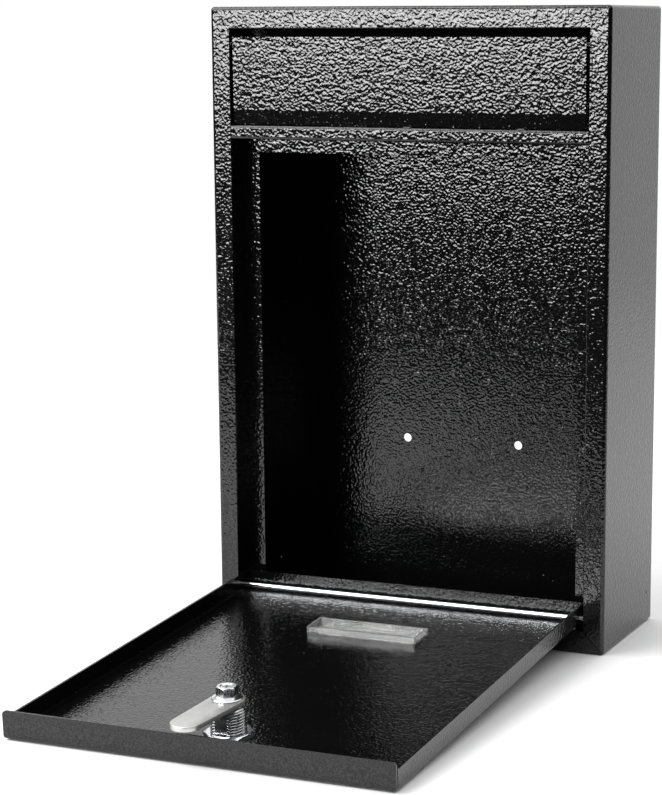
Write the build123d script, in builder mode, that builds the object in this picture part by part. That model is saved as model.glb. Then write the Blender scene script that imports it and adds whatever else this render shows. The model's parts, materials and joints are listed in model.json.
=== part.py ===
from build123d import *
import math
import os

# Wall-mounted parcel drop box in folded sheet steel, millimetres, +Z up.
# Origin: centre of the casing's bottom face. Front is -Y, back is +Y.
# Rest pose: the box stands on a surface, its door hangs open with the free
# edge on that surface, the mail flap is shut and the lock cam points to the
# door's free edge.

# ---- driving dimensions -------------------------------------------------
WIDTH = 250.0
HEIGHT = 372.0
DEPTH = 93.0
SHEET = 1.2                    # steel sheet of casing, door and flap
BEND = 2.2                     # outer bend radius
SEAM = 0.35                    # welded mitre seam, width and depth

FLANGE = 12.7                  # front flange at the sides and top
SILL = 14.0                    # front flange at the bottom
RETURN_DEPTH = 16.5            # jamb turned in behind the front flange
TOP_RETURN_DEPTH = 6.0
JAMB_BEND = 0.6                # visible corner of the front opening
STOP_OVERHANG = 10.3           # stop strip seen inside the jamb
STOP_LEG = 13.0
STOP_FOOT = 4.0                # stop strips start this far above the underside
BAFFLE_FRONT = 8.5             # slanted rain strip behind the flap's upper edge
BAFFLE_BACK = 18.0
BAFFLE_BOTTOM = 351.0
BAFFLE_LEG = 17.5

RAIL_BOTTOM = 294.5
RAIL_TOP = 302.8
RAIL_SHELF = 10.0              # top return of the cross rail
RAIL_NOTCH = 46.0              # height of the notches that clear the stop strips
HEADER_BOTTOM = 286.2          # lower edge of the stop above the door

HOLE_RADIUS = 2.7              # wall screw holes
HOLE_SPACING = 75.0
LOWER_HOLES_Z = 103.0
UPPER_HOLES_Z = 303.0
PINHOLE_RADIUS = 0.8           # jig pinhole low in each side wall
PINHOLE_FROM_FRONT = 83.4
PINHOLE_Z = 19.0

ROD_RADIUS = 1.5
ROD_HALF_LENGTH = 116.0
ROD_CHAMFER = 0.3
RUNNING_GAP = 0.05
RETAINER_RADIUS = 2.2
RETAINER_THICKNESS = 0.8

DOOR_GAP = 1.5
DOOR_WIDTH = 220.5
DOOR_DROOP = 3.5               # degrees below level where the free edge lies down
SIDE_FLANGE = 11.5
FREE_FLANGE = 15.8
CORNER_SLIT = 0.8
FREE_CORNER = 2.5              # rounded ends of the free-edge flange
ROD_FROM_EDGE = 5.0            # rod axis from the door's hinge-side flange
ROD_FROM_FACE = 3.5            # rod axis behind the door's outer face

FLAP_WIDTH = 220.8
FLAP_TOP = 354.4
FLAP_BEND = 311.7
LIP_BOTTOM = 303.4
FLAP_LEAN = 0.5                # how far the shut flap leans in at its bend
LIP_INSET = 1.3                # how far the lip leans in at its lower edge
LIP_CORNER = 2.5
EAR_RADIUS = 3.9
FLAP_ROD_Y = 5.0
FLAP_ROD_Z = 350.5
SPRING_WIRE = 0.35
SPRING_RADIUS = 3.0
SPRING_TURNS = 6
SPRING_PITCH = 0.95
SPRING_X = -60.0
SPRING_LEG = 14.0

WINDOW_FROM_HINGE = 65.0
LENS_LENGTH = 69.0
LENS_WIDTH = 19.0
LENS_HEIGHT = 4.0
LENS_WALL = 1.6
LENS_FLOOR = 1.0
LENS_LIP = 2.5                 # how far the lens laps over the slot's edge
LENS_CORNER = 0.8

LOCK_FROM_HINGE = 238.5
LOCK_HEAD_RADIUS = 12.0
LOCK_HEAD = 1.8
EDGE_BREAK = 0.5               # chamfer on the lock head and the bolt head
LOCK_RADIUS = 9.5
LOCK_CLEARANCE = 0.1           # panel hole and nut bore round the barrel
LOCK_FLATS = 16.0
LOCK_TOP = 17.5
PLUG_RADIUS = 6.45
PLUG_SHOULDER = 17.8
PLUG_SQUARE = 7.0
NUT_FLATS = 24.0
NUT_THICKNESS = 3.2
NUT_TURN = 14.0
WASHER_RADIUS = 7.6
WASHER_TOP = 19.0
CAM_TOP = 21.8
CAM_ROOT_RADIUS = 9.3
CAM_TIP_RADIUS = 8.2
CAM_REACH = 45.2
CAM_TURN = -6.0                # degrees the parked cam stands off the door's centre line
BOLT_FLANGE_RADIUS = 8.2
BOLT_FLANGE = 1.2
BOLT_FLATS = 10.0
BOLT_TOP = 28.6
BOLT_SHANK_RADIUS = 2.5
BOLT_END = 13.0
RECESS_DEPTH = 2.4
RECESS_WIDTH = 1.5
RECESS_LENGTH = 6.0
KEYWAY_DEPTH = 11.0
KEYWAY_WIDTH = 1.6
KEYWAY_LENGTH = 8.0
WAFERS = 5
WAFER_PITCH = 1.9
WAFER_THICKNESS = 0.9
WAFER_SIZE = (8.6, 9.6)
WAFER_WINDOW = (2.6, 6.0)
WAFER_CLEARANCE = 0.1
WAFER_FIRST = 1.2
WAFER_SPRING_RADIUS = 0.4
WAFER_SPRING_LENGTH = 2.4
WAFER_SPRING_X = 4.75
WAFER_SPRING_GAP = 0.05        # spring stands this far outside its slot's middle

# ---- derived positions --------------------------------------------------
FRONT = -DEPTH / 2
JAMB = WIDTH / 2 - FLANGE                   # half width of the front opening
OPENING_TOP = HEIGHT - FLANGE
STOP_FACE = FRONT + RETURN_DEPTH
DOOR_ROD_Y = FRONT + ROD_FROM_FACE
DOOR_ROD_Z = SILL + DOOR_GAP + ROD_FROM_EDGE
DOOR_LENGTH = RAIL_BOTTOM - DOOR_GAP - SILL - DOOR_GAP
DROOP_SIN = math.sin(math.radians(DOOR_DROOP))
DROOP_COS = math.cos(math.radians(DOOR_DROOP))
HINGE_EDGE_Y = DOOR_ROD_Y + ROD_FROM_EDGE * DROOP_COS + ROD_FROM_FACE * DROOP_SIN
HINGE_EDGE_Z = DOOR_ROD_Z + ROD_FROM_EDGE * DROOP_SIN - ROD_FROM_FACE * DROOP_COS

# Front face of the casing: sketch x is X, sketch y is Z, its normal is -Y.
FACE = Plane(origin=(0, FRONT, 0), x_dir=(1, 0, 0), z_dir=(0, -1, 0))
# Outer face of the open door: sketch x is X, sketch -y runs from hinge to free
# edge, and its normal points into the tray.
DOOR = Plane(
    origin=(0, HINGE_EDGE_Y, HINGE_EDGE_Z),
    x_dir=(1, 0, 0),
    z_dir=(0, -DROOP_SIN, DROOP_COS),
)
# Same plane on the lock's axis.
LOCK = Plane(
    origin=DOOR.from_local_coords((0, -LOCK_FROM_HINGE, 0)),
    x_dir=(1, 0, 0),
    z_dir=(0, -DROOP_SIN, DROOP_COS),
)
DOOR_NORMAL = Axis((0, 0, 0), (0, -DROOP_SIN, DROOP_COS))


def save(part, name):
    """Label a finished piece and write it as one STEP file."""
    part.label = name
    export_step(part, f"parts/{name}.step")


os.makedirs("parts", exist_ok=True)

# ---- casing -------------------------------------------------------------
# One strip folded round the four sides, with mitred front flanges and jambs.
with BuildPart() as casing_wrap:
    with BuildSketch(FACE):
        with Locations((0, HEIGHT / 2)):
            RectangleRounded(WIDTH, HEIGHT, BEND)
    extrude(amount=-DEPTH)
    fillet(casing_wrap.faces().sort_by(Axis.Y)[0].edges(), BEND)
    offset(amount=-SHEET, openings=casing_wrap.faces().sort_by(Axis.Y)[-1])
    with BuildSketch(FACE):
        with Locations((0, (OPENING_TOP + SILL) / 2)):
            Rectangle(2 * JAMB, OPENING_TOP - SILL)
    extrude(amount=-SHEET, mode=Mode.SUBTRACT)
    with BuildSketch(FACE.offset(-SHEET)):
        for side in (-1, 1):
            with Locations((side * (JAMB + SHEET / 2), (OPENING_TOP + SILL) / 2)):
                Rectangle(SHEET, OPENING_TOP - SILL + 2 * SHEET)
        with Locations((0, SILL - SHEET / 2)):
            Rectangle(2 * JAMB, SHEET)
    extrude(amount=SHEET - RETURN_DEPTH)
    with BuildSketch(FACE.offset(-SHEET)):
        with Locations((0, OPENING_TOP + SHEET / 2)):
            Rectangle(2 * JAMB, SHEET)
    extrude(amount=SHEET - TOP_RETURN_DEPTH)
    fillet(casing_wrap.faces().sort_by(Axis.Y)[0].inner_wires()[0].edges(), JAMB_BEND)
    with BuildSketch(FACE):
        for side in (-1, 1):
            for height, lean in ((HEIGHT - FLANGE / 2, 1), (SILL / 2, -1)):
                with Locations((side * (WIDTH - FLANGE) / 2, height)):
                    Rectangle(FLANGE * 1.2, SEAM, rotation=side * lean * 45)
    extrude(amount=-SEAM, mode=Mode.SUBTRACT)
    for rod_y, rod_z in ((DOOR_ROD_Y, DOOR_ROD_Z), (FRONT + FLAP_ROD_Y, FLAP_ROD_Z)):
        with BuildSketch(Plane.YZ):
            with Locations((rod_y, rod_z)):
                Circle(ROD_RADIUS)
        extrude(amount=JAMB + 2 * SHEET, both=True, mode=Mode.SUBTRACT)
    with BuildSketch(Plane.YZ):
        with Locations((FRONT + PINHOLE_FROM_FRONT, PINHOLE_Z)):
            Circle(PINHOLE_RADIUS)
    extrude(amount=WIDTH, both=True, mode=Mode.SUBTRACT)
save(casing_wrap.part, "casing_wrap")

with BuildPart() as back_panel:
    with BuildSketch(FACE.offset(SHEET - DEPTH)):
        with Locations((0, HEIGHT / 2)):
            RectangleRounded(WIDTH - 2 * SHEET, HEIGHT - 2 * SHEET, BEND - SHEET)
        for height in (LOWER_HOLES_Z, UPPER_HOLES_Z):
            with Locations((0, height)):
                with GridLocations(HOLE_SPACING, 1, 2, 1):
                    Circle(HOLE_RADIUS, mode=Mode.SUBTRACT)
    extrude(amount=-SHEET)
save(back_panel.part, "back_panel")

# Rail between flap and door: shelf, face, lower return and door stop in one fold.
with BuildPart() as cross_rail:
    with BuildSketch(Plane.YZ.offset(-JAMB)):
        with BuildLine():
            FilletPolyline(
                (FRONT + RAIL_SHELF, RAIL_TOP - SHEET / 2),
                (FRONT + SHEET / 2, RAIL_TOP - SHEET / 2),
                (FRONT + SHEET / 2, RAIL_BOTTOM + SHEET / 2),
                (STOP_FACE + SHEET / 2, RAIL_BOTTOM + SHEET / 2),
                (STOP_FACE + SHEET / 2, HEADER_BOTTOM),
                radius=SHEET,
            )
        trace(line_width=SHEET)
    extrude(amount=2 * JAMB)
    for side in (-1, 1):
        with BuildSketch(Plane.XZ.offset(-STOP_FACE)):
            with Locations((side * (JAMB - STOP_OVERHANG / 2), RAIL_BOTTOM)):
                Rectangle(STOP_OVERHANG, RAIL_NOTCH)
        extrude(amount=-STOP_LEG, mode=Mode.SUBTRACT)
save(cross_rail.part, "cross_rail")


def door_stop(side):
    """Angle strip behind a jamb, welded to the side wall."""
    wall = side * (WIDTH / 2 - SHEET * 1.5)
    with BuildPart() as stop:
        with BuildSketch(Plane.XY.offset(STOP_FOOT)):
            with BuildLine():
                FilletPolyline(
                    (side * (JAMB - STOP_OVERHANG), STOP_FACE + SHEET / 2),
                    (wall, STOP_FACE + SHEET / 2),
                    (wall, STOP_FACE + STOP_LEG),
                    radius=SHEET,
                )
            trace(line_width=SHEET)
        extrude(amount=RAIL_BOTTOM - STOP_FOOT)
    return stop.part


save(door_stop(-1), "left_stop")
save(door_stop(1), "right_stop")


# Slanted strip under the casing's top that keeps rain out above the flap.
with BuildPart() as rain_baffle:
    with BuildSketch(Plane.YZ.offset(-JAMB)):
        with BuildLine():
            FilletPolyline(
                (FRONT + BAFFLE_FRONT + BAFFLE_LEG, HEIGHT - SHEET * 1.5),
                (FRONT + BAFFLE_FRONT, HEIGHT - SHEET * 1.5),
                (FRONT + BAFFLE_BACK, BAFFLE_BOTTOM),
                radius=SHEET,
            )
        trace(line_width=SHEET)
    extrude(amount=2 * JAMB)
save(rain_baffle.part, "rain_baffle")


def rod(y, z):
    """Straight hinge rod across the casing, from jamb to jamb."""
    with BuildPart() as pin:
        with BuildSketch(Plane.YZ.offset(-ROD_HALF_LENGTH)):
            with Locations((y, z)):
                Circle(ROD_RADIUS)
        extrude(amount=2 * ROD_HALF_LENGTH)
        chamfer(pin.edges().filter_by(GeomType.CIRCLE), ROD_CHAMFER)
    return pin.part


save(rod(DOOR_ROD_Y, DOOR_ROD_Z), "door_hinge_rod")
save(rod(FRONT + FLAP_ROD_Y, FLAP_ROD_Z), "flap_rod")

# Push-on retainers on the four rod ends, inside the hollow jambs.
with BuildPart() as rod_retainers:
    for start in (JAMB + SHEET, -JAMB - SHEET - RETAINER_THICKNESS):
        with BuildSketch(Plane.YZ.offset(start)):
            for rod_y, rod_z in ((DOOR_ROD_Y, DOOR_ROD_Z), (FRONT + FLAP_ROD_Y, FLAP_ROD_Z)):
                with Locations((rod_y, rod_z)):
                    Circle(RETAINER_RADIUS)
                    Circle(ROD_RADIUS, mode=Mode.SUBTRACT)
        extrude(amount=RETAINER_THICKNESS)
save(rod_retainers.part, "rod_retainers")

# ---- mail flap ----------------------------------------------------------
with BuildPart() as flap:
    with BuildSketch(Plane.YZ.offset(-FLAP_WIDTH / 2)):
        with BuildLine():
            FilletPolyline(
                (FRONT + SHEET / 2, FLAP_TOP),
                (FRONT + SHEET / 2 + FLAP_LEAN, FLAP_BEND),
                (FRONT + SHEET / 2 + LIP_INSET, LIP_BOTTOM),
                radius=BEND,
            )
        trace(line_width=SHEET)
    extrude(amount=FLAP_WIDTH)
    lip_corners = flap.edges().filter_by(
        lambda edge: abs(edge.center().X) > FLAP_WIDTH / 2 - 0.01 and abs(edge.length - SHEET) < 0.05
    )
    fillet(lip_corners.group_by(Axis.Z)[0], LIP_CORNER)
    for inner in (-FLAP_WIDTH / 2, FLAP_WIDTH / 2 - SHEET):
        with BuildSketch(Plane.YZ.offset(inner)):
            with Locations((FRONT + (SHEET + FLAP_ROD_Y) / 2, FLAP_ROD_Z)):
                Rectangle(FLAP_ROD_Y - SHEET, 2 * EAR_RADIUS)
            with Locations((FRONT + FLAP_ROD_Y, FLAP_ROD_Z)):
                Circle(EAR_RADIUS)
                Circle(ROD_RADIUS + RUNNING_GAP, mode=Mode.SUBTRACT)
        extrude(amount=SHEET)
save(flap.part, "flap")

# Torsion spring on the flap's rod, with one leg down the back of the flap.
with BuildPart() as flap_spring:
    with BuildLine():
        coil = Helix(
            pitch=SPRING_PITCH,
            height=SPRING_PITCH * SPRING_TURNS,
            radius=SPRING_RADIUS,
            center=(SPRING_X, FRONT + FLAP_ROD_Y, FLAP_ROD_Z),
            direction=(1, 0, 0),
        )
    with BuildSketch(Plane(origin=coil @ 0, z_dir=coil % 0)):
        Circle(SPRING_WIRE)
    sweep(path=coil)
    with BuildSketch(Plane.XY.offset(FLAP_ROD_Z - SPRING_LEG)):
        with Locations((SPRING_X, FRONT + FLAP_ROD_Y - SPRING_RADIUS)):
            Circle(SPRING_WIRE)
    extrude(amount=SPRING_LEG)
save(flap_spring.part, "flap_spring")

# ---- door ---------------------------------------------------------------
with BuildPart() as door_panel:
    with BuildSketch(DOOR):
        with Locations((0, -DOOR_LENGTH / 2)):
            Rectangle(DOOR_WIDTH, DOOR_LENGTH)
    extrude(amount=FREE_FLANGE)
    fillet(door_panel.faces().sort_by(DOOR_NORMAL)[0].edges(), BEND)
    offset(amount=-SHEET, openings=door_panel.faces().sort_by(DOOR_NORMAL)[-1])
    with BuildSketch(DOOR.offset(SIDE_FLANGE)):
        with Locations((0, -(DOOR_LENGTH - SHEET - CORNER_SLIT) / 2)):
            Rectangle(DOOR_WIDTH + 2, DOOR_LENGTH - SHEET - CORNER_SLIT)
    extrude(amount=FREE_FLANGE, mode=Mode.SUBTRACT)
    with BuildSketch(DOOR.offset(BEND)):
        for side in (-1, 1):
            with Locations((side * DOOR_WIDTH / 2, -(DOOR_LENGTH - SHEET - CORNER_SLIT / 2))):
                Rectangle(4 * SHEET, CORNER_SLIT)
    extrude(amount=FREE_FLANGE, mode=Mode.SUBTRACT)
    free_corners = door_panel.edges().filter_by(
        lambda edge: abs(edge.center().X) > DOOR_WIDTH / 2 - 0.01 and abs(edge.length - SHEET) < 0.05
    )
    fillet(free_corners.sort_by(DOOR_NORMAL)[-2:], FREE_CORNER)
    with BuildSketch(Plane.YZ):
        with Locations((DOOR_ROD_Y, DOOR_ROD_Z)):
            Circle(ROD_RADIUS + RUNNING_GAP)
    extrude(amount=DOOR_WIDTH, both=True, mode=Mode.SUBTRACT)
    with BuildSketch(DOOR):
        with Locations((0, -WINDOW_FROM_HINGE)):
            RectangleRounded(LENS_LENGTH - 2 * LENS_LIP, LENS_WIDTH - 2 * LENS_LIP, LENS_CORNER)
    extrude(amount=SHEET, mode=Mode.SUBTRACT)
    with BuildSketch(LOCK):
        Circle(LOCK_RADIUS + LOCK_CLEARANCE)
        Rectangle(3 * LOCK_RADIUS, LOCK_FLATS + 2 * LOCK_CLEARANCE, mode=Mode.INTERSECT)
    extrude(amount=SHEET, mode=Mode.SUBTRACT)
save(door_panel.part, "door_panel")

# Clear insert: a plug that fills the slot and a raised rim lying on the panel.
with BuildPart() as window_lens:
    with BuildSketch(DOOR):
        with Locations((0, -WINDOW_FROM_HINGE)):
            RectangleRounded(LENS_LENGTH - 2 * LENS_LIP, LENS_WIDTH - 2 * LENS_LIP, LENS_CORNER)
    extrude(amount=SHEET)
    with BuildSketch(DOOR.offset(SHEET)):
        with Locations((0, -WINDOW_FROM_HINGE)):
            RectangleRounded(LENS_LENGTH, LENS_WIDTH, LENS_CORNER)
    extrude(amount=LENS_HEIGHT)
    with BuildSketch(DOOR.offset(SHEET + LENS_FLOOR)):
        with Locations((0, -WINDOW_FROM_HINGE)):
            Rectangle(LENS_LENGTH - 2 * LENS_WALL, LENS_WIDTH - 2 * LENS_WALL)
    extrude(amount=LENS_HEIGHT, mode=Mode.SUBTRACT)
save(window_lens.part, "window_lens")

# ---- lock ---------------------------------------------------------------
# Threaded barrel with two flats and a round head on the door's outer face.
with BuildPart() as lock_barrel:
    with BuildSketch(LOCK.offset(-LOCK_HEAD)):
        Circle(LOCK_HEAD_RADIUS)
    extrude(amount=LOCK_HEAD)
    chamfer(lock_barrel.faces().sort_by(DOOR_NORMAL)[0].edges(), EDGE_BREAK)
    with BuildSketch(LOCK):
        Circle(LOCK_RADIUS)
        Rectangle(3 * LOCK_RADIUS, LOCK_FLATS, mode=Mode.INTERSECT)
    extrude(amount=LOCK_TOP)
    with BuildSketch(LOCK.offset(-LOCK_HEAD)):
        Circle(PLUG_RADIUS + RUNNING_GAP)
    extrude(amount=LOCK_HEAD + LOCK_TOP, mode=Mode.SUBTRACT)
save(lock_barrel.part, "lock_barrel")

with BuildPart() as lock_nut:
    with BuildSketch(LOCK.offset(SHEET)):
        RegularPolygon(NUT_FLATS / 2, 6, major_radius=False, rotation=NUT_TURN)
        Circle(LOCK_RADIUS + LOCK_CLEARANCE, mode=Mode.SUBTRACT)
    extrude(amount=NUT_THICKNESS)
save(lock_nut.part, "lock_nut")

# Plug: keyway and wafer slots at the head, square drive and bolt hole at the cam.
wafer_levels = [WAFER_FIRST + index * WAFER_PITCH for index in range(WAFERS)]
with BuildPart() as lock_plug:
    with BuildSketch(LOCK.offset(-LOCK_HEAD)):
        Circle(PLUG_RADIUS)
    extrude(amount=LOCK_HEAD + PLUG_SHOULDER)
    with BuildSketch(LOCK.offset(PLUG_SHOULDER)):
        Rectangle(PLUG_SQUARE, PLUG_SQUARE, rotation=CAM_TURN)
    extrude(amount=CAM_TOP - PLUG_SHOULDER)
    with BuildSketch(LOCK.offset(BOLT_END)):
        Circle(BOLT_SHANK_RADIUS)
    extrude(amount=CAM_TOP - BOLT_END, mode=Mode.SUBTRACT)
    with BuildSketch(LOCK.offset(-LOCK_HEAD)):
        Rectangle(KEYWAY_WIDTH, KEYWAY_LENGTH)
    extrude(amount=LOCK_HEAD + KEYWAY_DEPTH, mode=Mode.SUBTRACT)
    for level in wafer_levels:
        with BuildSketch(LOCK.offset(level - WAFER_CLEARANCE)):
            Rectangle(WAFER_SIZE[0] + 2 * WAFER_CLEARANCE, WAFER_SIZE[1] + 2 * WAFER_CLEARANCE)
            with Locations((WAFER_SPRING_X, 0)):
                Rectangle(3 * WAFER_SPRING_RADIUS, WAFER_SPRING_LENGTH + 2 * WAFER_CLEARANCE)
        extrude(amount=WAFER_THICKNESS + 2 * WAFER_CLEARANCE, mode=Mode.SUBTRACT)
save(lock_plug.part, "lock_plug")

with BuildPart() as lock_wafers:
    for level in wafer_levels:
        with BuildSketch(LOCK.offset(level)):
            Rectangle(*WAFER_SIZE)
            Rectangle(*WAFER_WINDOW, mode=Mode.SUBTRACT)
        extrude(amount=WAFER_THICKNESS)
save(lock_wafers.part, "lock_wafers")

with BuildPart() as wafer_springs:
    for level in wafer_levels:
        centre = LOCK.from_local_coords(
            (WAFER_SPRING_X + WAFER_SPRING_GAP, -WAFER_SPRING_LENGTH / 2, level + WAFER_THICKNESS / 2)
        )
        with BuildSketch(Plane(origin=centre, x_dir=(1, 0, 0), z_dir=LOCK.y_dir)):
            Circle(WAFER_SPRING_RADIUS)
        extrude(amount=WAFER_SPRING_LENGTH)
save(wafer_springs.part, "wafer_springs")

with BuildPart() as stop_washer:
    with BuildSketch(LOCK.offset(PLUG_SHOULDER)):
        Circle(WASHER_RADIUS)
        Rectangle(PLUG_SQUARE, PLUG_SQUARE, rotation=CAM_TURN, mode=Mode.SUBTRACT)
    extrude(amount=WASHER_TOP - PLUG_SHOULDER)
save(stop_washer.part, "stop_washer")

# Flat cam: round root on the plug's square, straight sides, round tip.
with BuildPart() as lock_cam:
    with BuildSketch(LOCK.offset(WASHER_TOP)):
        Circle(CAM_ROOT_RADIUS)
        with PolarLocations(CAM_REACH - CAM_TIP_RADIUS, 1, start_angle=CAM_TURN - 90):
            Circle(CAM_TIP_RADIUS)
        make_hull()
        Rectangle(PLUG_SQUARE, PLUG_SQUARE, rotation=CAM_TURN, mode=Mode.SUBTRACT)
    extrude(amount=CAM_TOP - WASHER_TOP)
save(lock_cam.part, "lock_cam")

with BuildPart() as cam_bolt:
    with BuildSketch(LOCK.offset(BOLT_END)):
        Circle(BOLT_SHANK_RADIUS)
    extrude(amount=CAM_TOP - BOLT_END)
    with BuildSketch(LOCK.offset(CAM_TOP)):
        Circle(BOLT_FLANGE_RADIUS)
    extrude(amount=BOLT_FLANGE)
    with BuildSketch(LOCK.offset(CAM_TOP + BOLT_FLANGE)):
        RegularPolygon(BOLT_FLATS / 2, 6, major_radius=False)
    extrude(amount=BOLT_TOP - CAM_TOP - BOLT_FLANGE)
    chamfer(cam_bolt.faces().sort_by(DOOR_NORMAL)[-1].edges(), EDGE_BREAK)
    with BuildSketch(LOCK.offset(BOLT_TOP - RECESS_DEPTH)):
        Rectangle(RECESS_LENGTH, RECESS_WIDTH)
        Rectangle(RECESS_WIDTH, RECESS_LENGTH)
    extrude(amount=RECESS_DEPTH, mode=Mode.SUBTRACT)
save(cam_bolt.part, "cam_bolt")
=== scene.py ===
import json
import math

import bmesh
import bpy
from mathutils import Matrix, Vector


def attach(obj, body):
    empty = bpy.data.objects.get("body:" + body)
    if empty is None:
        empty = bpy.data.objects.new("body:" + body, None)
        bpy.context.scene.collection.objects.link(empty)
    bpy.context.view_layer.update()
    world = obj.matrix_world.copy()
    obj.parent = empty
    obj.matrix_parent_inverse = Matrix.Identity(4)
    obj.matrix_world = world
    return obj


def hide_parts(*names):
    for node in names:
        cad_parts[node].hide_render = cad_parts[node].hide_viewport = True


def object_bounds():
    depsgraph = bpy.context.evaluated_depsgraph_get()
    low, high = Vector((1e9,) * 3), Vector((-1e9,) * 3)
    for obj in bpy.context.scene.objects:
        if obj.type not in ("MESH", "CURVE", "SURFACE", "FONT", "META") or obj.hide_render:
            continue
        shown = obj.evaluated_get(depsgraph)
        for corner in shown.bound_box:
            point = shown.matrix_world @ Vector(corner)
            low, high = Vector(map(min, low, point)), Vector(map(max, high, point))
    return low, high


MM = 0.001
CAMERA_YAW = math.radians(22.8055)
AROUND = 96          # points on each turned ring

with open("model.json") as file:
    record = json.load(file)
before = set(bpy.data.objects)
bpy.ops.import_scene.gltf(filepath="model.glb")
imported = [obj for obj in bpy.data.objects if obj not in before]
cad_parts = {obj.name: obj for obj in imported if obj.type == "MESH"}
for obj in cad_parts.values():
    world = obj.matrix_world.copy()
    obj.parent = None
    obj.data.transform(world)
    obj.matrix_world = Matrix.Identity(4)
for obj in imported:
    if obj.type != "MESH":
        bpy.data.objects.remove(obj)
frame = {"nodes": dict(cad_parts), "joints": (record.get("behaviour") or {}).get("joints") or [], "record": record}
cad_low, cad_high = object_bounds()

# ---------------------------------------------------------------- helpers


def new_object(name, mesh):
    piece = bpy.data.objects.new(name, mesh)
    bpy.context.scene.collection.objects.link(piece)
    return piece


def smooth(piece, angle):
    """Smooth shading with sharp edges kept where faces meet at more than the angle."""
    mesh = piece.data
    mesh.shade_smooth()
    mesh.set_sharp_from_angle(angle=math.radians(angle))


def bevel(piece, width, segments, angle):
    """Rounds a piece's edges for good."""
    modifier = piece.modifiers.new("bevel", "BEVEL")
    modifier.width = width
    modifier.segments = segments
    modifier.limit_method = "ANGLE"
    modifier.angle_limit = math.radians(angle)
    apply_modifiers(piece)


def apply_modifiers(piece):
    graph = bpy.context.evaluated_depsgraph_get()
    mesh = bpy.data.meshes.new_from_object(piece.evaluated_get(graph))
    piece.modifiers.clear()
    piece.data = mesh


def joint(name):
    return next(j for j in frame["joints"] if j["name"] == name)


def door_frame():
    """Matrix from the door's own axes to the part: X across, Y to the hinge, Z into the tray,
    with its origin where the lock's axis meets the door's outer face."""
    lock = joint("lock_turn")
    normal = Vector(lock["axis"]).normalized()
    across = Vector((1, 0, 0))
    matrix = Matrix.Identity(4)
    for column, axis in enumerate((across, normal.cross(across), normal)):
        for row in range(3):
            matrix[row][column] = axis[row]
    matrix.translation = Vector(lock["pos_m"])
    return matrix


DOOR = door_frame()


def box_in_door(node):
    """A node's lowest and highest corners along the door's own axes."""
    back = DOOR.inverted()
    points = [back @ v.co for v in frame["nodes"][node].data.vertices]
    low = Vector([min(p[i] for p in points) for i in range(3)])
    high = Vector([max(p[i] for p in points) for i in range(3)])
    return low, high


# -------------------------------------------------------------- materials


def set_range(node, low, high, to_low, to_high):
    """Fills in a map range node's four limits."""
    sockets = ("From Min", "From Max", "To Min", "To Max")
    for socket, number in zip(sockets, (low, high, to_low, to_high)):
        node.inputs[socket].default_value = number


class Shader:
    """Small wrapper that makes node trees short to write."""

    def __init__(self, name):
        self.material = bpy.data.materials.new(name)
        self.material.use_nodes = True
        self.nodes = self.material.node_tree.nodes
        self.links = self.material.node_tree.links
        self.surface = self.nodes["Principled BSDF"]

    def add(self, kind, settings=None, **inputs):
        node = self.nodes.new(kind)
        for key, value in (settings or {}).items():
            setattr(node, key, value)
        for key, value in inputs.items():
            self.put(node, key.replace("_", " "), value)
        return node

    def put(self, node, socket, value):
        target = node.inputs[int(socket)] if socket.isdigit() else node.inputs[socket]
        if isinstance(value, bpy.types.NodeSocket):
            self.links.new(value, target)
        else:
            target.default_value = value

    def set(self, **inputs):
        for key, value in inputs.items():
            self.put(self.surface, key.replace("_", " "), value)

    def place(self):
        """Position in the part's own frame, in metres."""
        return self.add("ShaderNodeTexCoord").outputs["Object"]

    def noise(self, scale, detail=2.0, distortion=0.0, vector=None):
        return self.add(
            "ShaderNodeTexNoise",
            Vector=vector or self.place(),
            Scale=scale,
            Detail=detail,
            Distortion=distortion,
        ).outputs["Fac"]

    def stretch(self, x, y, z):
        """Position scaled along each axis, for brushed and drawn grain."""
        return self.add("ShaderNodeMapping", Vector=self.place(), Scale=(x, y, z)).outputs["Vector"]

    def spread(self, value, low, high, to_low, to_high):
        """Maps low..high softly onto to_low..to_high."""
        node = self.add("ShaderNodeMapRange", {"interpolation_type": "SMOOTHSTEP"}, Value=value)
        set_range(node, low, high, to_low, to_high)
        return node.outputs["Result"]

    def math(self, operation, first, second):
        node = self.add("ShaderNodeMath", {"operation": operation})
        self.put(node, "0", first)
        self.put(node, "1", second)
        return node.outputs[0]

    def mix(self, factor, first, second):
        node = self.add("ShaderNodeMix", {"data_type": "RGBA"})
        self.put(node, "0", factor)
        self.put(node, "6", first)
        self.put(node, "7", second)
        return node.outputs[2]

    def bump(self, height, distance, strength=1.0):
        node = self.add("ShaderNodeBump", Height=height, Distance=distance, Strength=strength)
        return node.outputs["Normal"]


def hammered_coat():
    """Glossy black hammered powder coat: shallow lumps about a millimetre and a half wide."""
    s = Shader("powder_coat")
    lumps = s.noise(680, detail=0.0, distortion=0.3)
    swell = s.noise(280, detail=1.0)
    height = s.math("ADD", lumps, s.math("MULTIPLY", swell, 0.6))
    pits = s.noise(1150, detail=1.0)
    cloud = s.noise(14, detail=3.0)
    s.set(
        Base_Color=s.mix(cloud, (0.0022, 0.0022, 0.0024, 1), (0.0042, 0.0041, 0.0041, 1)),
        Roughness=s.spread(swell, 0.2, 0.8, 0.06, 0.1),
        Specular_IOR_Level=s.spread(pits, 0.35, 0.65, 0.36, 0.62),
        Metallic=0.0,
        IOR=1.5,
        Normal=s.bump(height, 0.000175),
    )
    return s.material


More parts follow.
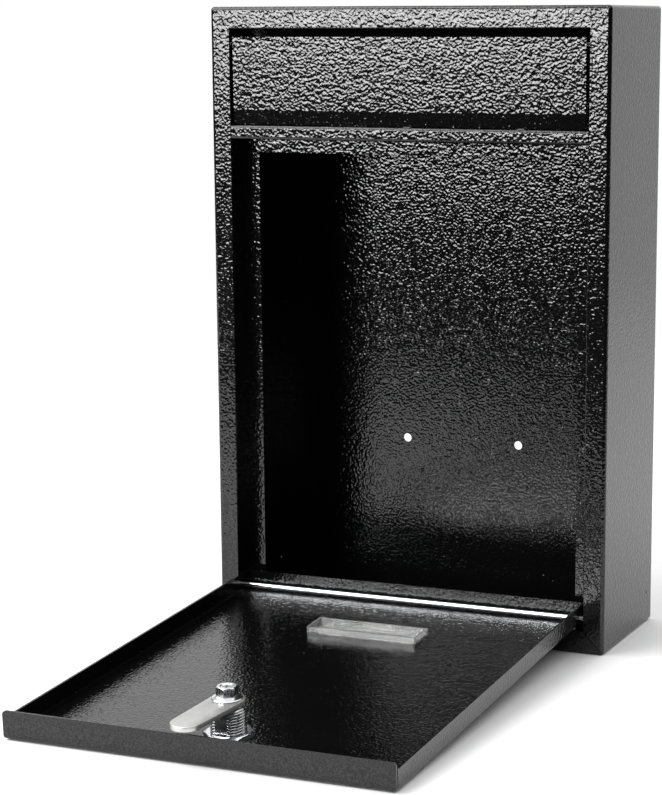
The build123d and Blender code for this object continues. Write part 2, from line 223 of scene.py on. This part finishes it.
def bright_zinc():
    """Bright zinc plate: cool and shiny, with fine drawing marks and faint clouding."""
    s = Shader("bright_zinc")
    grain = s.noise(1, detail=4.0, vector=s.stretch(300, 2600, 2600))
    cloud = s.noise(160, detail=3.0)
    s.set(
        Base_Color=s.mix(cloud, (0.72, 0.74, 0.77, 1), (0.86, 0.87, 0.88, 1)),
        Roughness=s.spread(grain, 0.2, 0.8, 0.13, 0.26),
        Metallic=1.0,
        Normal=s.bump(grain, 0.00003, 0.5),
    )
    return s.material


def cam_zinc():
    """Satin zinc on a stamped cam: dull, slightly warm, lightly scratched."""
    s = Shader("cam_zinc")
    cloud = s.noise(120, detail=4.0)
    scratch = s.noise(1, detail=5.0, vector=s.stretch(1800, 260, 1800))
    s.set(
        Base_Color=s.mix(cloud, (0.5, 0.5, 0.49, 1), (0.64, 0.64, 0.62, 1)),
        Roughness=s.spread(scratch, 0.25, 0.75, 0.34, 0.5),
        Metallic=1.0,
        Normal=s.bump(s.math("ADD", scratch, cloud), 0.00004, 0.6),
    )
    return s.material


def lock_chrome():
    """Plated die casting of the lock barrel and plug."""
    s = Shader("lock_chrome")
    cloud = s.noise(240, detail=3.0)
    s.set(
        Base_Color=s.mix(cloud, (0.5, 0.51, 0.52, 1), (0.66, 0.67, 0.68, 1)),
        Roughness=s.spread(cloud, 0.2, 0.8, 0.16, 0.3),
        Metallic=1.0,
        Normal=s.bump(cloud, 0.00004, 0.5),
    )
    return s.material


def spring_steel():
    """Dark drawn wire of the rods and springs."""
    s = Shader("spring_steel")
    cloud = s.noise(500, detail=3.0)
    s.set(
        Base_Color=s.mix(cloud, (0.16, 0.16, 0.17, 1), (0.3, 0.3, 0.31, 1)),
        Roughness=s.spread(cloud, 0.2, 0.8, 0.3, 0.45),
        Metallic=1.0,
        Normal=s.bump(cloud, 0.00003, 0.5),
    )
    return s.material


def brass():
    """Stamped brass of the lock's wafers."""
    s = Shader("brass")
    grain = s.noise(1, detail=3.0, vector=s.stretch(400, 2400, 2400))
    s.set(
        Base_Color=s.mix(grain, (0.62, 0.44, 0.16, 1), (0.8, 0.62, 0.3, 1)),
        Roughness=s.spread(grain, 0.2, 0.8, 0.22, 0.36),
        Metallic=1.0,
        Normal=s.bump(grain, 0.00003, 0.5),
    )
    return s.material


def clear_plastic():
    """Clear moulded window with flow waviness; transmission held below full adds a diffuse white that is painted
    light, standing in for the bright lit floor seen through it.
    """
    s = Shader("clear_plastic")
    flow = s.noise(90, detail=2.0)
    s.set(
        Base_Color=s.mix(flow, (0.9, 0.9, 0.89, 1), (0.97, 0.98, 0.98, 1)),
        Roughness=s.spread(flow, 0.2, 0.8, 0.02, 0.07),
        IOR=1.49,
        # transmission below full: the diffuse white it lets show is painted light for the lit floor seen through
        # the window
        Transmission_Weight=s.spread(flow, 0.3, 0.7, 0.8, 0.93),
        Normal=s.bump(flow, 0.00012, 0.6),
    )
    return s.material


MATERIALS = {
    "powder_coat": hammered_coat(),
    "bright_zinc": bright_zinc(),
    "cam_zinc": cam_zinc(),
    "lock_chrome": lock_chrome(),
    "spring_steel": spring_steel(),
    "brass": brass(),
    "clear_plastic": clear_plastic(),
}


def dress(piece, slot):
    """Gives a piece the one material of its slot."""
    piece.data.materials.clear()
    piece.data.materials.append(MATERIALS[slot])


for entry in frame["record"]["subparts"]:
    dress(frame["nodes"][entry["node"]], entry["material_slot"])


def stand_in(piece, body, slot, node, angle):
    """Makes a detailed piece ride on a body and stand for its CAD node."""
    dress(piece, slot)
    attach(piece, body)
    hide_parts(node)
    smooth(piece, angle)


# ------------------------------------------------------------ lock pieces


def ring_of(bm, radius, height, turn=0.0, flats=None):
    """One closed ring of points; flats cuts it off at that half width in Y."""
    points = []
    for index in range(AROUND):
        angle = math.tau * index / AROUND + turn
        x = radius * math.cos(angle)
        y = radius * math.sin(angle)
        if flats is not None:
            y = max(-flats, min(flats, y))
        points.append(bm.verts.new((x, y, height)))
    return points


def skin(bm, lower, upper):
    """Joins two rings with a band of faces."""
    for index in range(AROUND):
        after = (index + 1) % AROUND
        bm.faces.new((lower[index], lower[after], upper[after], upper[index]))


def finish_mesh(bm, name, matrix=DOOR):
    """Closes a bmesh, places it in the part's frame and returns the mesh."""
    bmesh.ops.recalc_face_normals(bm, faces=bm.faces)
    bmesh.ops.transform(bm, matrix=matrix, verts=bm.verts)
    mesh = bpy.data.meshes.new(name)
    bm.to_mesh(mesh)
    bm.free()
    return mesh


def threaded_barrel():
    """Lock barrel with a rolled helical thread, two flats and its round head."""
    low, high = box_in_door("lock_barrel")
    plug_low, plug_high = box_in_door("lock_plug")
    head = (high.x - low.x) / 2
    head_edge = 0.5 * MM
    bore = (plug_high.x - plug_low.x) / 2 + 0.05 * MM
    crest_radius = 9.5 * MM
    depth = 0.85 * MM
    pitch = 1.5 * MM
    run_out = 0.6 * pitch
    crest_width = 1.35       # over 1 flattens the crests
    flats = 8.0 * MM
    levels_per_turn = 10
    bm = bmesh.new()
    rings = [
        ring_of(bm, bore, low.z),
        ring_of(bm, head - head_edge, low.z),
        ring_of(bm, head, low.z + head_edge),
        ring_of(bm, head, 0.0),
        ring_of(bm, crest_radius - depth, 0.0, flats=flats),
    ]
    levels = int(high.z / pitch * levels_per_turn)
    for level in range(1, levels + 1):
        height = high.z * level / levels
        ending = min(1.0, (high.z - height) / run_out)
        ring = []
        for index in range(AROUND):
            angle = math.tau * index / AROUND
            phase = (height / pitch - index / AROUND) % 1.0
            crest = min(1.0, (1.0 - abs(2.0 * phase - 1.0)) * crest_width)
            reach = crest_radius - depth * (1.0 - crest * ending)
            x = reach * math.cos(angle)
            y = max(-flats, min(flats, reach * math.sin(angle)))
            ring.append(bm.verts.new((x, y, height)))
        rings.append(ring)
    rings.append(ring_of(bm, bore, high.z))
    for lower, upper in zip(rings, rings[1:]):
        skin(bm, lower, upper)
    skin(bm, rings[-1], rings[0])
    return new_object("threaded_barrel", finish_mesh(bm, "threaded_barrel"))


def hex_ring(bm, half_flats, height, limit, turn):
    """Hexagon whose corners are cut off at a limit radius."""
    side = math.radians(60)
    ring = []
    for index in range(AROUND):
        angle = math.tau * index / AROUND
        from_flat = (angle + side / 2) % side - side / 2
        reach = min(half_flats / math.cos(from_flat), limit)
        spot = angle + turn
        ring.append(bm.verts.new((reach * math.cos(spot), reach * math.sin(spot), height)))
    return ring


def chamfered_hex(bm, half_flats, low, high, turn, chamfer_low):
    """Hexagon turned to a cone at its top, and if asked at its bottom, like nuts and bolt heads."""
    corner = half_flats / math.cos(math.radians(30))
    face = half_flats * 0.98
    slope = 0.5
    steps = 4
    limits = [face + (corner - face) * step / steps for step in range(steps + 1)]
    rings = []
    if chamfer_low:
        for limit in limits:
            rings.append(hex_ring(bm, half_flats, low + (limit - face) * slope, limit, turn))
    else:
        rings.append(hex_ring(bm, half_flats, low, corner, turn))
    for limit in reversed(limits):
        rings.append(hex_ring(bm, half_flats, high - (limit - face) * slope, limit, turn))
    for lower, upper in zip(rings, rings[1:]):
        skin(bm, lower, upper)
    return rings


def hex_nut():
    """Thin hexagon nut that clamps the barrel to the door."""
    low, high = box_in_door("lock_nut")
    half_flats = 12.0 * MM
    bore = 9.52 * MM
    turn = math.radians(44)
    bm = bmesh.new()
    rings = chamfered_hex(bm, half_flats, low.z, high.z, turn, chamfer_low=True)
    inner_low = ring_of(bm, bore, low.z, turn=turn)
    inner_high = ring_of(bm, bore, high.z, turn=turn)
    skin(bm, rings[-1], inner_high)
    skin(bm, inner_high, inner_low)
    skin(bm, inner_low, rings[0])
    return new_object("hex_nut", finish_mesh(bm, "hex_nut"))


def cross_cutter(top):
    """Two tapered arms that cut a cross recess into a bolt head."""
    length = 6.0 * MM
    width = 1.3 * MM
    height = 4.6 * MM
    taper = 0.62
    bm = bmesh.new()
    for turn in (20, 110):
        arm = bmesh.ops.create_cube(bm, size=1.0)
        for vertex in arm["verts"]:
            narrowing = taper if vertex.co.z < 0 else 1.0
            vertex.co.x *= length * narrowing
            vertex.co.y *= width * narrowing
            vertex.co.z = vertex.co.z * height + top
        spin = Matrix.Rotation(math.radians(turn), 4, "Z")
        bmesh.ops.transform(bm, matrix=spin, verts=arm["verts"])
    mesh = bpy.data.meshes.new("recess")
    bm.to_mesh(mesh)
    bm.free()
    return new_object("recess", mesh)


def flange_bolt():
    """Hexagon head with a cross recess on a dished washer face, and its shank."""
    low, high = box_in_door("cam_bolt")
    seat = box_in_door("lock_cam")[1].z
    flange = 8.2 * MM
    half_flats = 5.0 * MM
    shank = 2.5 * MM
    shank_edge = 0.5 * MM
    dish_depth = 0.35 * MM
    turn = math.radians(8)
    bm = bmesh.new()
    rings = [
        ring_of(bm, shank - shank_edge, low.z),
        ring_of(bm, shank, low.z + shank_edge),
        ring_of(bm, shank, seat),
        ring_of(bm, flange - 0.25 * MM, seat),
        ring_of(bm, flange, seat + 0.2 * MM),
        ring_of(bm, flange, seat + 0.55 * MM),
        ring_of(bm, flange - 0.3 * MM, seat + 0.85 * MM),
        ring_of(bm, flange - 1.4 * MM, seat + 1.15 * MM),
    ]
    for lower, upper in zip(rings, rings[1:]):
        skin(bm, lower, upper)
    bm.faces.new(rings[0])
    head = chamfered_hex(bm, half_flats, seat + 1.7 * MM, high.z, turn, chamfer_low=False)
    skin(bm, rings[-1], head[0])
    dish = ring_of(bm, half_flats * 0.72, high.z, turn=turn)
    skin(bm, head[-1], dish)
    bowl = ring_of(bm, half_flats * 0.62, high.z - dish_depth, turn=turn)
    skin(bm, dish, bowl)
    bm.faces.new(bowl)
    piece = new_object("cam_bolt_head", finish_mesh(bm, "flange_bolt", Matrix.Identity(4)))
    cutter = cross_cutter(high.z)
    cut = piece.modifiers.new("recess", "BOOLEAN")
    cut.operation = "DIFFERENCE"
    cut.use_self = True
    cut.object = cutter
    apply_modifiers(piece)
    bpy.data.objects.remove(cutter)
    piece.data.transform(DOOR)
    return piece


def stamped_cam():
    """Flat cam with softly rolled edges."""
    mesh = frame["nodes"]["lock_cam"].data.copy()
    piece = new_object("stamped_cam", mesh)
    bm = bmesh.new()
    bm.from_mesh(mesh)
    bmesh.ops.remove_doubles(bm, verts=bm.verts, dist=0.005 * MM)
    bmesh.ops.dissolve_limit(bm, angle_limit=math.radians(1), verts=bm.verts, edges=bm.edges)
    bm.to_mesh(mesh)
    bm.free()
    bevel(piece, 0.4 * MM, segments=3, angle=40)
    return piece


stand_in(threaded_barrel(), "door", "lock_chrome", "lock_barrel", 40)
stand_in(hex_nut(), "door", "bright_zinc", "lock_nut", 25)
stand_in(flange_bolt(), "lock_core", "bright_zinc", "cam_bolt", 25)
stand_in(stamped_cam(), "lock_core", "cam_zinc", "lock_cam", 30)

# ----------------------------------------------------------------- studio


def add_light(name, place, target, size_x, size_y, power):
    """A white softbox that faces its target."""
    data = bpy.data.lights.new(name, "AREA")
    data.shape = "RECTANGLE"
    data.size = size_x
    data.size_y = size_y
    data.energy = power
    light = bpy.data.objects.new(name, data)
    bpy.context.scene.collection.objects.link(light)
    light.location = place
    direction = Vector(target) - Vector(place)
    light.rotation_euler = direction.to_track_quat("-Z", "Y").to_euler()


def build_floor():
    """White sheet squared up to the camera, from half a metre in front of the origin to behind."""
    side = 2.5
    front = -0.5
    back = 1.2
    bm = bmesh.new()
    corners = [(-side, front), (side, front), (side, back), (-side, back)]
    bm.faces.new([bm.verts.new((x, y, 0)) for x, y in corners])
    mesh = bpy.data.meshes.new("floor")
    bm.to_mesh(mesh)
    bm.free()
    floor = new_object("floor", mesh)
    floor.rotation_euler.z = CAMERA_YAW
    floor.location.z = cad_low.z
    s = Shader("floor")
    grain = s.noise(40, detail=2.0)
    s.set(
        Base_Color=s.mix(grain, (0.88, 0.88, 0.88, 1), (0.9, 0.9, 0.9, 1)),
        Roughness=0.7,
    )
    floor.data.materials.append(s.material)


def build_world():
    """White behind the object, overhead and for the camera, dark in front where the room is unlit."""
    unlit = 0.03
    world = bpy.data.worlds.new("studio")
    bpy.context.scene.world = world
    world.use_nodes = True
    nodes = world.node_tree.nodes
    links = world.node_tree.links
    background = nodes["Background"]
    place = nodes.new("ShaderNodeTexCoord")
    split = nodes.new("ShaderNodeSeparateXYZ")
    links.new(place.outputs["Generated"], split.inputs[0])

    def ramp(axis, start, end, low, high):
        node = nodes.new("ShaderNodeMapRange")
        set_range(node, start, end, low, high)
        links.new(split.outputs[axis], node.inputs["Value"])
        return node.outputs["Result"]

    def join(operation, first, second):
        node = nodes.new("ShaderNodeMath")
        node.operation = operation
        links.new(first, node.inputs[0])
        links.new(second, node.inputs[1])
        return node.outputs[0]

    behind = join("MULTIPLY", ramp("Y", 0.45, 0.75, unlit, 1.0), ramp("Z", 0.0, 0.3, 0.84, 1.1))
    light = join("MAXIMUM", behind, ramp("Z", 0.45, 0.75, unlit, 1.5))
    path = nodes.new("ShaderNodeLightPath")
    light = join("MAXIMUM", light, path.outputs["Is Camera Ray"])
    background.inputs["Color"].default_value = (1, 1, 1, 1)
    links.new(light, background.inputs["Strength"])


def build_camera():
    """Camera to the right of the box and level with its top, looking slightly down."""
    distance = 1.2228        # from the casing's front face, straight ahead of it
    casing_depth = 0.093
    aside = 0.5243
    height = 0.3613
    data = bpy.data.cameras.new("camera")
    data.sensor_width = 36.0
    data.lens = 103.2181
    data.shift_x = -0.1128
    data.shift_y = 0.0838
    data.clip_start = 0.05
    data.clip_end = 50
    camera = bpy.data.objects.new("camera", data)
    bpy.context.scene.collection.objects.link(camera)
    pitch = math.radians(10.9107)
    roll = math.radians(-0.1032)
    camera.location = (aside, cad_high.y - casing_depth - distance, height)
    facing = Matrix.Rotation(CAMERA_YAW, 4, "Z") @ Matrix.Rotation(math.pi / 2 - pitch, 4, "X")
    camera.rotation_euler = (facing @ Matrix.Rotation(roll, 4, "Z")).to_euler()
    bpy.context.scene.camera = camera


build_floor()
build_world()
build_camera()
bpy.context.scene.view_settings.view_transform = "Standard"
add_light("overhead", (-0.8, -0.55, 1.1), (-0.15, -0.1, 0), 1.2, 1.2, 19)
add_light("front_left", (-1.3, -3.0, 0.65), (0, 0, 0.34), 1.4, 0.72, 51)
